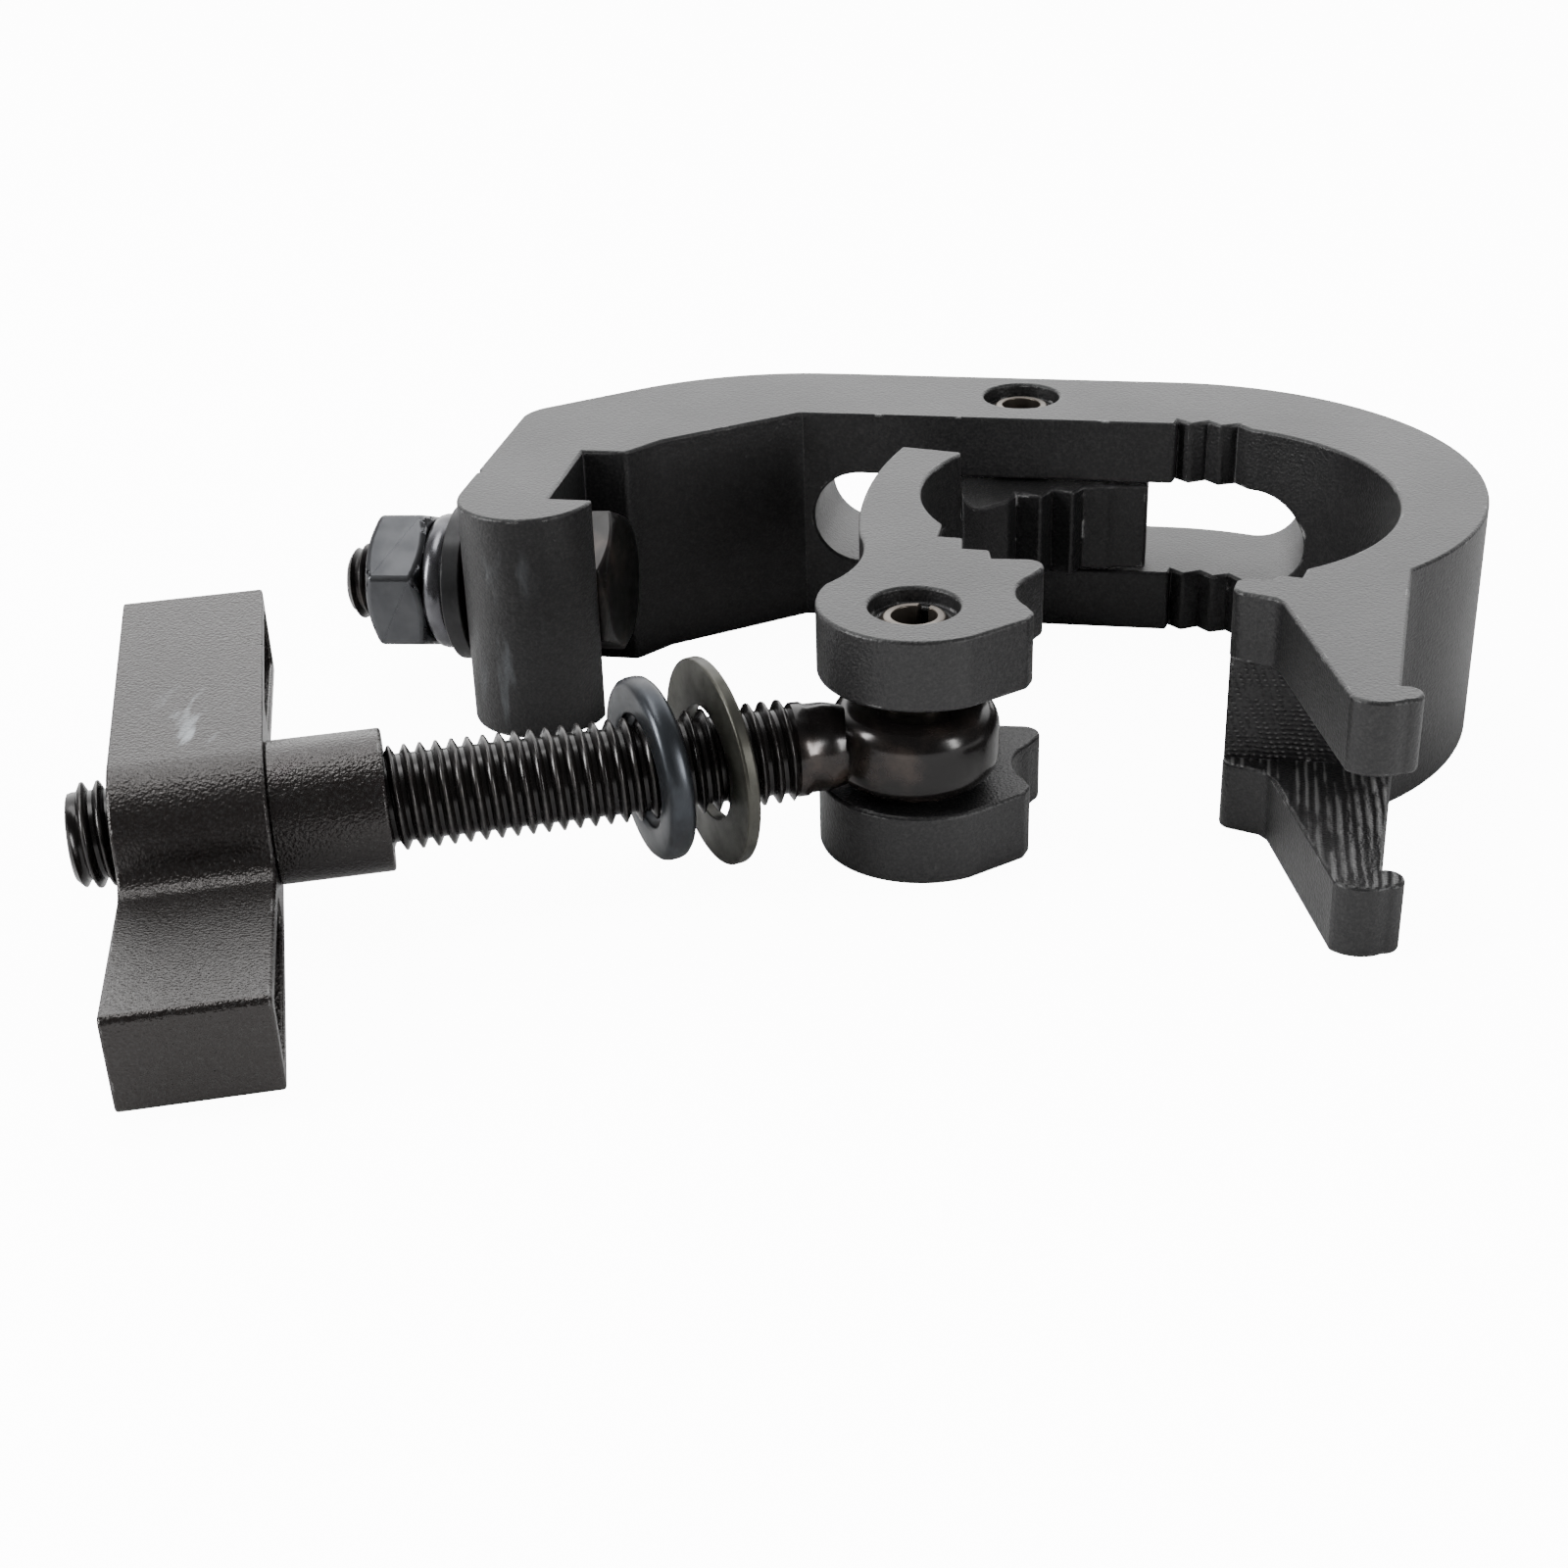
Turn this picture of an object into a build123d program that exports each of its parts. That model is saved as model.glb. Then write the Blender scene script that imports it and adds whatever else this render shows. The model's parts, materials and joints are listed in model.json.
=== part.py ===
from build123d import *
import math
import os

# Trigger pipe clamp, drawn closed round the largest tube it takes.  Millimetres.
# The origin is the tube's axis at mid thickness.  +Z runs along the tube, +X points from the
# mounting bolt towards the hook's fork, and +Y points from the mouth towards the spine.

# --- driving dimensions ---------------------------------------------------------------------
THICKNESS = 30.0  # sawn length of both extrusions
SLOT = 13.0  # one cutter makes the window, the fork's slot and the jaw's clevis
TUBE_R = 26.8  # seat of the hook
HOOK_OUTER_R = 39.0
HOOK_OUTER = (-1.5, 5.5)  # the hook's outside is struck from its own centre
SPINE_INNER_Y = TUBE_R
SPINE_OUTER_Y = HOOK_OUTER[1] + HOOK_OUTER_R
PIVOT = (-22.0, 36.5)  # hinge of the trigger jaw
EAR_PIN = (-27.6, -37.3)  # hinge of the swing bolt, in the jaw's ears
PIN_R = 4.0
PIN_WALL = 1.4
PIN_SLIT = 1.3
PIN_RECESS = 2.0
RECESS_R = 5.2
RUNNING = 0.05  # radial clearance where a pin turns in its bore

BASE_X = -89.2  # outer face of the base, where the fixture is bolted on
POCKET_X = -77.4  # floor of the pocket that keeps the mounting bolt from turning
POCKET_HALF = 8.8
NOSE_R = 8.8

BOLT_ANGLE = 200.6  # heading of the swing bolt at rest
BOLT_DROOP = 0.8  # it leans down towards the bench
EYE_DROP = 1.15  # its eye has slid down its pin, towards the lower ear
THREAD_R = 5.9
THREAD_START = 14.0
BOLT_END = 94.0
BARREL_START = 59.8
WING_START = 72.4
WING_END = 89.0

MOUNT_R = 5.0
MOUNT_AF = 17.0
MOUNT_LEAN = 2.5  # the loose mounting bolt leans down at its nut
HALF = THICKNESS / 2


# --- helpers ----------------------------------------------------------------------------------
def plate(sketch, thickness=THICKNESS):
    """A plan outline cut to a thickness, centred on Z = 0."""
    return extrude(sketch, amount=thickness / 2, both=True)


def block(x, y, z):
    """A box between three pairs of limits."""
    size = [b - a for a, b in (x, y, z)]
    return Pos(*[(a + b) / 2 for a, b in (x, y, z)]) * Box(*size)


def rod(x, y, radius, low=-HALF, high=HALF):
    """A cylinder along Z."""
    return Pos(x, y, (low + high) / 2) * Cylinder(radius, high - low)


def on_circle(centre, radius, degrees):
    """A point at a heading on a circle."""
    a = math.radians(degrees)
    return (centre[0] + radius * math.cos(a), centre[1] + radius * math.sin(a))


def bolt_frame(distance, angle=BOLT_ANGLE):
    """A plane across the swing bolt: local x level, towards the mouth, local y up, z to the tip."""
    a = math.radians(angle)
    lean = math.radians(BOLT_DROOP)
    along = Vector(math.cos(a) * math.cos(lean), math.sin(a) * math.cos(lean), -math.sin(lean))
    origin = Vector(*EAR_PIN, -EYE_DROP) + along * distance
    return Plane(origin=origin, x_dir=(-math.sin(a), math.cos(a), 0), z_dir=along)


def base_frame():
    """A plane at the pocket's floor: z points out of the base."""
    return Plane(origin=(POCKET_X, 0, 0), x_dir=(0, -1, 0), z_dir=(-1, 0, 0))


def mount_frame(distance):
    """A plane across the mounting bolt: z points out to its nut, local y up."""
    lean = math.radians(MOUNT_LEAN)
    along = Vector(-math.cos(lean), 0, -math.sin(lean))
    return Plane(origin=Vector(POCKET_X, 0, 0.1) + along * distance, x_dir=(0, -1, 0), z_dir=along)


def turned(frame, radius, start, end, chamfer_length=0.0):
    """A cylinder from start to end along a frame's axis, with a chamfer at its far end."""
    profile = [(0, start), (radius, start), (radius, end - chamfer_length)]
    if chamfer_length:
        profile.append((radius - chamfer_length, end))
    profile.append((0, end))
    face = Plane.XZ * make_face(Polyline(*profile, close=True))
    return frame * revolve(face, Axis.Z)


def hexagon(across_flats, height, chamfer_both=True):
    """A hexagon along +Z from 0, its corners turned down to a 30 degree chamfer."""
    corner_r = across_flats / math.sqrt(3)
    prism = extrude(RegularPolygon(corner_r, 6), amount=height)
    drop = (corner_r - across_flats / 2 * 0.96) * math.tan(math.radians(30))
    rim = across_flats / 2 * 0.96
    foot = drop if chamfer_both else 0
    foot_r = rim if chamfer_both else corner_r
    profile = [(0, 0), (foot_r, 0), (corner_r, foot), (corner_r, height - drop), (rim, height), (0, height)]
    if not chamfer_both:
        profile.pop(2)
    cone = revolve(Plane.XZ * make_face(Polyline(*profile, close=True)), Axis.Z)
    return prism & cone


# --- hook body --------------------------------------------------------------------------------
def hook_outline():
    """Plan of the fixed extrusion: base, spine, hook and fork."""
    outer_end = on_circle(HOOK_OUTER, HOOK_OUTER_R, -43.0)
    lip_inner = on_circle((0, 0), TUBE_R, -55.2)
    seat_top = (26.75, -22.9)
    seat_foot = (24.1, -52.2)
    hook_start = on_circle((0, 0), TUBE_R, 66.5)
    grip = [(x, math.sqrt(TUBE_R**2 - x**2) + lift) for x, lift in grip_points()]
    nose = (BASE_X + NOSE_R, -8.0)
    nose_right = (nose[0] + math.sqrt(NOSE_R**2 - (POCKET_HALF + nose[1]) ** 2), -POCKET_HALF)
    shoulder = (-49.4, SPINE_OUTER_Y)
    shoulder_r = 42.2
    slant = math.radians(39.4)
    bend = (shoulder[0] - shoulder_r * math.sin(slant), shoulder[1] - shoulder_r * (1 - math.cos(slant)))
    corner_x = BASE_X + 1.8
    corner = (corner_x, bend[1] - (bend[0] - corner_x) * math.tan(slant))
    with BuildSketch() as sketch:
        with BuildLine():
            top = (HOOK_OUTER[0], SPINE_OUTER_Y)
            ThreePointArc(top, on_circle(HOOK_OUTER, HOOK_OUTER_R, 20), outer_end)
            Polyline(outer_end, seat_top, seat_foot)
            ThreePointArc(seat_foot, (26.3, -53.8), (24.6, -55.8))
            ThreePointArc((24.6, -55.8), (21.6, -56.75), (19.0, -55.6))
            Polyline((19.0, -55.6), (12.6, -32.2), (11.7, -31.1), (8.5, -30.0))
            ThreePointArc((8.5, -30.0), (7.5, -29.3), (7.2, -28.2))
            Polyline((7.2, -28.2), (7.5, -26.2), (8.5, -25.6), (11.4, -25.5), (12.4, -24.2))
            Polyline((12.4, -24.2), (14.7, -24.6), lip_inner)
            ThreePointArc(lip_inner, (TUBE_R, 0), hook_start)
            Polyline(hook_start, *grip, (-0.7, SPINE_INNER_Y))
            Polyline((-0.7, SPINE_INNER_Y), (-51.0, SPINE_INNER_Y), (-67.8, 13.9), (-70.9, 9.6))
            Polyline((-70.9, 9.6), (-71.6, POCKET_HALF), (POCKET_X, POCKET_HALF))
            Polyline((POCKET_X, POCKET_HALF), (POCKET_X, -POCKET_HALF), nose_right)
            ThreePointArc(nose_right, on_circle(nose, NOSE_R, -70), (BASE_X, nose[1]))
            Polyline((BASE_X, nose[1]), (BASE_X, -0.6), (BASE_X + 0.5, 0), (BASE_X, 0.6), (BASE_X, 22.0))
            ThreePointArc((BASE_X, 22.0), (BASE_X + 0.45, 23.7), corner)
            Line(corner, bend)
            mid = math.radians(90) + slant / 2
            centre = (shoulder[0], shoulder[1] - shoulder_r)
            ThreePointArc(bend, on_circle(centre, shoulder_r, math.degrees(mid)), shoulder)
            Line(shoulder, top)
        make_face()
    return sketch.sketch


def grip_points():
    """Three ridges inside the spine that bite the tube: x and height above the seat's circle."""
    first, pitch = 10.0, 3.9
    points = []
    for ridge in range(3):
        x = first - ridge * pitch
        points += [(x - 0.9, 0.05), (x - 2.6, 1.5)]
    return points


def hook_body():
    body = plate(hook_outline())
    window = Pos(-16.4, 30, 0) * Rot(90, 0, 0) * SlotOverall(66.4, SLOT)
    body -= extrude(window, amount=30, both=True)
    body -= block((0, 40), (-60, -28.0), (-SLOT / 2, SLOT / 2))
    body -= rod(*PIVOT, PIN_R)
    body -= rod(*PIVOT, RECESS_R, HALF - PIN_RECESS, HALF)
    body -= rod(*PIVOT, RECESS_R, -HALF, -HALF + PIN_RECESS)
    body -= turned(base_frame(), MOUNT_R + 0.9, -2, 14)
    return body


# --- trigger jaw ------------------------------------------------------------------------------
RELIEF = (-9.5, 0.1)  # centre of the arm's concave side, struck for a small tube
RELIEF_R = 21.8
ARM_TIP = [(-35.6, 14.5), (-27.8, 13.0)]


def jaw_outline():
    """Plan of the jaw's full-thickness part: arm, catch teeth, notch and ears."""
    arc_top = on_circle(RELIEF, RELIEF_R, 147.3)
    arc_foot = on_circle(RELIEF, RELIEF_R, 215.2)
    ear = (-27.1, -35.6)
    ear_r = 11.8
    ear_right = on_circle(ear, ear_r, -55)
    ear_left = on_circle(ear, ear_r, 163)
    with BuildSketch() as sketch:
        with BuildLine():
            Polyline(ARM_TIP[0], ARM_TIP[1], arc_top)
            ThreePointArc(arc_top, on_circle(RELIEF, RELIEF_R, 180), arc_foot)
            Polyline(arc_foot, (-27.4, -16.4), (-24.4, -16.6), (-24.1, -19.9), (-20.9, -20.1))
            Polyline((-20.9, -20.1), (-20.4, -22.6), (-16.4, -22.4))
            ThreePointArc((-16.4, -22.4), (-14.6, -23.3), (-14.6, -25.7))
            Line((-14.6, -25.7), (-15.3, -27.4))
            ThreePointArc((-15.3, -27.4), (-16.8, -31.6), (-15.2, -36.0))
            Polyline((-15.2, -36.0), (-14.2, -37.9), (-14.7, -39.9), ear_right)
            ThreePointArc(ear_right, on_circle(ear, ear_r, -120), ear_left)
            ThreePointArc(ear_left, (-35.6, -24.8), (-36.7, -17.0))
            ThreePointArc((-36.7, -17.0), (-38.0, -1.0), ARM_TIP[0])
        make_face()
    return sketch.sketch


def tongue_outline():
    """Plan of the thin tongue: it hangs the arm from the pivot and runs on as the trigger."""
    boss_r = 7.8
    teeth = [(-21.3, 22.6), (-17.9, 21.6), (-16.6, 24.8), (-13.8, 23.4), (-12.5, 26.0), (-9.3, 26.0)]
    with BuildSketch() as sketch:
        with BuildLine():
            Line((-37.4, 4.0), (-30.4, 4.0))
            ThreePointArc((-30.4, 4.0), (-26.9, 13.9), (-21.9, 19.5))
            Polyline((-21.9, 19.5), *teeth, (-8.0, 26.85), (-4.0, 26.85), (-4.0, 33.0), (-16.0, 41.4))
            Line((-16.0, 41.4), (-29.8, 36.5))
            ThreePointArc((-29.8, 36.5), (-34.3, 24.0), (-37.4, 4.0))
        make_face()
        with Locations(PIVOT):
            Circle(boss_r)
    return sketch.sketch


def shoulder(sign):
    """The cutter's round corner between the arm's end and the tongue, above or below it."""
    radius = 4.5
    tongue_half = SLOT / 2 - 0.5
    left, right = ARM_TIP
    heading = math.degrees(math.atan2(right[1] - left[1], right[0] - left[0]))
    strip = Pos(*left) * Rot(0, 0, heading) * Pos(4, radius / 2) * Rectangle(14, radius)
    fill = Pos(0, 0, tongue_half) * extrude(strip & tongue_outline(), amount=radius)
    cutter = Pos(*left, tongue_half + radius) * Rot(0, 0, heading) * Pos(4, radius, 0)
    fill -= cutter * Rot(0, 90, 0) * Cylinder(radius, 30)
    return fill if sign > 0 else mirror(fill, Plane.XY)


def trigger_jaw():
    jaw = plate(jaw_outline())
    jaw += plate(tongue_outline(), SLOT - 1.0)
    jaw += shoulder(1)
    jaw += shoulder(-1)
    jaw -= block((-50, -10), (-60, -21.0), (-SLOT / 2, SLOT / 2))
    jaw -= rod(*PIVOT, PIN_R + RUNNING)
    jaw -= rod(*EAR_PIN, PIN_R + RUNNING)
    jaw -= rod(*EAR_PIN, RECESS_R, HALF - PIN_RECESS, HALF)
    jaw -= rod(*EAR_PIN, RECESS_R, -HALF, -HALF + PIN_RECESS)
    return jaw


def roll_pin(place, slit_heading):
    """A slotted spring pin, short of both faces."""
    half = HALF - PIN_RECESS + 0.8
    pin = rod(*place, PIN_R, -half, half)
    pin = chamfer(pin.edges().filter_by(GeomType.CIRCLE), 0.6)
    pin -= rod(*place, PIN_R - PIN_WALL, -half, half)
    slit = Pos(*place, 0) * Rot(0, 0, slit_heading) * Pos(PIN_R, 0, 0) * Box(2 * PIN_R, PIN_SLIT, 2 * half)
    return pin - slit


# --- swing bolt and what rides on it ----------------------------------------------------------
def swing_eyebolt():
    eye_r = 9.7
    eye_half = 4.75
    neck_r = 5.1
    shank_r = 5.4
    eye = rod(*EAR_PIN, eye_r, -EYE_DROP - eye_half, -EYE_DROP + eye_half)
    eye = fillet(eye.edges().filter_by(GeomType.CIRCLE), 2.2)
    frame = bolt_frame(0)
    shank = turned(frame, neck_r, 0, 12.6) + turned(frame, shank_r, 12.4, THREAD_START + 1)
    thread = turned(frame, THREAD_R, THREAD_START, BOLT_END, 1.2)
    bolt = eye + shank + thread
    bolt -= rod(*EAR_PIN, PIN_R + RUNNING)
    return bolt


def tilted(distance, yaw, pitch):
    """A loose washer's place: hung on the thread, swung level by yaw and leaning by pitch."""
    return bolt_frame(distance) * Pos(0, -0.15, 0) * Rot(pitch, yaw, 0)


def bolt_flat_washer():
    ring = Cylinder(12.0, 1.5) - Cylinder(6.65, 1.5)
    ring = chamfer(ring.edges().filter_by(GeomType.CIRCLE).sort_by(SortBy.RADIUS)[2:], 0.2)
    return tilted(23.4, 14.0, 0) * ring


def split_ring(inner_r, outer_r, thickness, rise, gap_degrees, heading):
    """A split spring washer: nearly one turn of a square section, free or pressed flat."""
    mid_r = (outer_r + inner_r) / 2
    width = outer_r - inner_r
    if not rise:
        ring = Cylinder(outer_r, thickness) - Cylinder(inner_r, thickness)
        return Rot(0, 0, heading) * (ring - Pos(mid_r, 0, 0) * Rot(20, 0, 0) * Box(3 * width, 1.2, 3 * thickness))
    span = 360 - gap_degrees
    path = Helix(pitch=rise * 360 / span, height=rise, radius=mid_r)
    section = Plane(origin=path @ 0, z_dir=path % 0, x_dir=(path @ 0).normalized()) * Rectangle(width, thickness)
    ring = sweep(section, path, is_frenet=True)
    return Rot(0, 0, heading) * Pos(0, 0, -rise / 2) * ring


def bolt_spring_washer():
    return tilted(30.4, 9.0, 0) * split_ring(6.5, 10.6, 2.6, 1.6, 9, 60)


def wing_nut_barrel():
    """Threaded core of the wing nut: the round collar and the sleeve inside the wing."""
    frame = bolt_frame(0)
    barrel = turned(frame, 8.0, BARREL_START, WING_START, 0)
    barrel += turned(frame, 7.0, WING_START - 1, WING_END - 0.4, 0)
    return barrel - turned(frame, THREAD_R + RUNNING, BARREL_START - 1, WING_END + 1)


def wing_profile():
    """Section of the wing: a round boss with two hollow lobes, alike when turned half round."""
    boss_r = 8.6
    lobe = make_face(Polyline((3.0, -3.0), (37.5, -0.4), (37.5, -11.7), (-0.6, -8.55), close=True))
    lobe = fillet(lobe.vertices().group_by(Axis.X)[-1], 0.9)
    hollow = make_face(Polyline((11.0, -4.4), (35.5, -2.4), (35.5, -9.5), (11.0, -7.6), close=True))
    hollow = fillet(hollow.vertices(), 0.9)
    profile = Circle(boss_r) + lobe + Rot(0, 0, 180) * lobe
    roots = profile.vertices().filter_by(lambda v: 6 < abs(v.X) < 9.5 and abs(v.Y) < 5)
    profile = fillet(roots, 3.0)
    return profile - hollow - Rot(0, 0, 180) * hollow - Circle(7.0 + RUNNING)


def wing_nut():
    return bolt_frame(WING_START) * extrude(wing_profile(), amount=WING_END - WING_START)


# --- mounting bolt ----------------------------------------------------------------------------
WASHER_START = 12.4  # from the pocket's floor to just outside the base
MOUNT_WASHER = 2.5
MOUNT_SPRING = 3.3
MOUNT_NUT = 7.6
MOUNT_LENGTH = 30.0


def mounting_bolt():
    head = mount_frame(-0.5) * Rot(180, 0, 0) * Rot(0, 0, 30) * hexagon(MOUNT_AF, 6.4, False)
    return head + turned(mount_frame(0), MOUNT_R, -0.6, MOUNT_LENGTH, 1.0)


def mount_flat_washer():
    washer = turned(mount_frame(0), 10.3, WASHER_START, WASHER_START + MOUNT_WASHER)
    return washer - turned(mount_frame(0), MOUNT_R + 0.3, 0, 30)


def mount_spring_washer():
    middle = WASHER_START + MOUNT_WASHER + MOUNT_SPRING / 2
    return mount_frame(middle) * split_ring(5.3, 9.0, MOUNT_SPRING, 0.0, 9, 120)


def mounting_nut():
    nut = mount_frame(WASHER_START + MOUNT_WASHER + MOUNT_SPRING) * Rot(0, 0, 24) * hexagon(MOUNT_AF, MOUNT_NUT)
    return nut - turned(mount_frame(0), MOUNT_R + RUNNING, 0, 40)


NODES = {
    "hook_body": hook_body,
    "trigger_jaw": trigger_jaw,
    "jaw_pivot_pin": lambda: roll_pin(PIVOT, 250),
    "eyebolt_pin": lambda: roll_pin(EAR_PIN, 75),
    "swing_eyebolt": swing_eyebolt,
    "bolt_flat_washer": bolt_flat_washer,
    "bolt_spring_washer": bolt_spring_washer,
    "wing_nut_barrel": wing_nut_barrel,
    "wing_nut": wing_nut,
    "mounting_bolt": mounting_bolt,
    "mount_flat_washer": mount_flat_washer,
    "mount_spring_washer": mount_spring_washer,
    "mounting_nut": mounting_nut,
}

os.makedirs("parts", exist_ok=True)
for name, make in NODES.items():
    solid = make()
    solid.label = name
    export_step(solid, f"parts/{name}.step")
    print(name, round(solid.volume, 1))
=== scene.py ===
"""Looks of a trigger pipe clamp: powder coated extrusions, screws, washers and pins.

The CAD bodies are the fixed frame.  Threads are cut for real here, sawn edges are eased, and
every finish is procedural.  Lengths are metres, in the frame's axes: +Z along the tube.
"""

import json
import logging
import math
from dataclasses import dataclass, field
from enum import Enum
from typing import Callable, Optional, Sequence

import bmesh
import bpy
from mathutils import Matrix, Vector


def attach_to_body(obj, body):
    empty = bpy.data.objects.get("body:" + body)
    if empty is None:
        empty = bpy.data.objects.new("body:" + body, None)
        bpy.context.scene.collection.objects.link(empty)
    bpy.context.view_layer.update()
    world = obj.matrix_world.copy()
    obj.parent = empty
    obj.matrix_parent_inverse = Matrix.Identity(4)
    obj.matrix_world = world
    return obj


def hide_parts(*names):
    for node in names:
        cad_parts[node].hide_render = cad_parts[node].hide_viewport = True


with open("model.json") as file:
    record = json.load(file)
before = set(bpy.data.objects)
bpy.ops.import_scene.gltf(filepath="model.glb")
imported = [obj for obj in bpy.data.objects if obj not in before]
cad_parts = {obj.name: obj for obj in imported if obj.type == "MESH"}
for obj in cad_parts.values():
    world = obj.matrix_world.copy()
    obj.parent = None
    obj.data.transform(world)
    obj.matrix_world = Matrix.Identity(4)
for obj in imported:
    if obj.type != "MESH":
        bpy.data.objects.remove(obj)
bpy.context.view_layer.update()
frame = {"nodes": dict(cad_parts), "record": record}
log = logging.getLogger("pipe_clamp")

MM = 0.001
SHARP = math.radians(32)  # a corner that turns more than this is eased


class Slot(Enum):
    """The record's material slots."""

    BLACK_COAT = "black_coat"
    BLACK_BOLT = "black_bolt"
    ZINC_STEEL = "zinc_steel"
    SPRING_STEEL = "spring_steel"
    PIN_STEEL = "pin_steel"


# --- shader graph helpers ---------------------------------------------------------------------


class Graph:
    """A short way to write a material's node tree."""

    def __init__(self, name: str) -> None:
        """Starts an empty material.

        Args:
            name: the material's name.
        """
        self.material = bpy.data.materials.new(name)
        self.material.use_nodes = True
        self.tree = self.material.node_tree
        self.tree.nodes.clear()
        self.out = self.tree.nodes.new("ShaderNodeOutputMaterial")
        self.shader = self.tree.nodes.new("ShaderNodeBsdfPrincipled")
        self.link(self.shader.outputs[0], self.out.inputs["Surface"])
        self.coords = self.tree.nodes.new("ShaderNodeTexCoord").outputs["Object"]

    def link(self, source: bpy.types.NodeSocket, target: bpy.types.NodeSocket) -> None:
        """Joins two sockets."""
        self.tree.links.new(source, target)

    def feed(self, socket: bpy.types.NodeSocket, value: object) -> None:
        """Sets a socket from a number or colour, or links one to it.

        Args:
            socket: the input.
            value: a number, a tuple or an output socket.
        """
        if isinstance(value, bpy.types.NodeSocket):
            self.link(value, socket)
        else:
            socket.default_value = value

    def math(self, operation: str, *values: object, clamp: bool = False) -> bpy.types.NodeSocket:
        """A Math node.

        Args:
            operation: Blender's name for it.
            values: its inputs.
            clamp: whether the result stays between 0 and 1.

        Returns:
            The result.
        """
        node = self.tree.nodes.new("ShaderNodeMath")
        node.operation = operation
        node.use_clamp = clamp
        for socket, value in zip(node.inputs, values):
            self.feed(socket, value)
        return node.outputs[0]

    def place(
        self, turn: Sequence[float] = (0, 0, 0), scale: Sequence[float] = (1, 1, 1)
    ) -> bpy.types.NodeSocket:
        """Object coordinates, turned in degrees and stretched."""
        node = self.tree.nodes.new("ShaderNodeMapping")
        self.link(self.coords, node.inputs["Vector"])
        node.inputs["Rotation"].default_value = [math.radians(a) for a in turn]
        node.inputs["Scale"].default_value = scale
        return node.outputs[0]

    def noise(
        self,
        scale: float,
        detail: float = 3.0,
        vector: Optional[bpy.types.NodeSocket] = None,
        rough: float = 0.5,
    ) -> bpy.types.NodeSocket:
        """A noise pattern of some grains to the metre.

        Args:
            scale: grains to the metre.
            detail: how many finer layers it has.
            vector: where it is read, object coordinates by default.
            rough: how strong the finer layers are.

        Returns:
            The pattern, about 0.5.
        """
        node = self.tree.nodes.new("ShaderNodeTexNoise")
        node.inputs["Scale"].default_value = scale
        node.inputs["Detail"].default_value = detail
        node.inputs["Roughness"].default_value = rough
        self.link(vector or self.coords, node.inputs["Vector"])
        return node.outputs["Fac"]

    def ramp(self, value: object, low: float, high: float) -> bpy.types.NodeSocket:
        """A smooth step from 0 at low to 1 at high."""
        node = self.tree.nodes.new("ShaderNodeMapRange")
        node.interpolation_type = "SMOOTHSTEP"
        self.feed(node.inputs["Value"], value)
        node.inputs["From Min"].default_value = low
        node.inputs["From Max"].default_value = high
        return node.outputs["Result"]

    def mix(self, factor: object, first: object, second: object) -> bpy.types.NodeSocket:
        """Blends two colours."""
        node = self.tree.nodes.new("ShaderNodeMix")
        node.data_type = "RGBA"
        self.feed(node.inputs[0], factor)
        self.feed(node.inputs[6], first)
        self.feed(node.inputs[7], second)
        return node.outputs[2]

    def axis(self, index: int, vector: Optional[bpy.types.NodeSocket] = None) -> bpy.types.NodeSocket:
        """One component of object coordinates, or of another vector."""
        node = self.tree.nodes.new("ShaderNodeSeparateXYZ")
        self.link(vector or self.coords, node.inputs[0])
        return node.outputs[index]

    def normal(self, index: int) -> bpy.types.NodeSocket:
        """One component of the surface's normal."""
        node = self.tree.nodes.new("ShaderNodeNewGeometry")
        return self.axis(index, node.outputs["Normal"])

    def reach(self, origin: Sequence[float], heading: Sequence[float]) -> bpy.types.NodeSocket:
        """Distance from a line.

        Args:
            origin: a point on it.
            heading: its unit direction.

        Returns:
            The distance in metres.
        """
        offset = self.tree.nodes.new("ShaderNodeVectorMath")
        offset.operation = "SUBTRACT"
        self.link(self.coords, offset.inputs[0])
        offset.inputs[1].default_value = origin
        cross = self.tree.nodes.new("ShaderNodeVectorMath")
        cross.operation = "CROSS_PRODUCT"
        self.link(offset.outputs[0], cross.inputs[0])
        cross.inputs[1].default_value = heading
        length = self.tree.nodes.new("ShaderNodeVectorMath")
        length.operation = "LENGTH"
        self.link(cross.outputs[0], length.inputs[0])
        return length.outputs["Value"]

    def edge(self, radius: float) -> bpy.types.NodeSocket:
        """How far the surface turns within a radius: 0 on flats, rising on corners."""
        bevel = self.tree.nodes.new("ShaderNodeBevel")
        bevel.samples = 6
        bevel.inputs["Radius"].default_value = radius
        geometry = self.tree.nodes.new("ShaderNodeNewGeometry")
        dot = self.tree.nodes.new("ShaderNodeVectorMath")
        dot.operation = "DOT_PRODUCT"
        self.link(bevel.outputs[0], dot.inputs[0])
        self.link(geometry.outputs["Normal"], dot.inputs[1])
        return self.math("SUBTRACT", 1.0, dot.outputs["Value"])

    def bump(self, height: object, strength: float, depth: float) -> None:
        """Raises the surface by a height pattern, on top of any earlier one.

        Args:
            height: the pattern.
            strength: how much of it shows.
            depth: its height in metres.
        """
        node = self.tree.nodes.new("ShaderNodeBump")
        node.inputs["Strength"].default_value = strength
        node.inputs["Distance"].default_value = depth
        self.feed(node.inputs["Height"], height)
        before = self.shader.inputs["Normal"]
        if before.is_linked:
            self.link(before.links[0].from_socket, node.inputs["Normal"])
        self.link(node.outputs[0], before)

    def colour(self, value: object) -> None:
        """Sets the base colour."""
        self.feed(self.shader.inputs["Base Color"], value)

    def rough(self, value: object) -> None:
        """Sets the roughness."""
        self.feed(self.shader.inputs["Roughness"], value)


# --- finishes ---------------------------------------------------------------------------------


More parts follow.
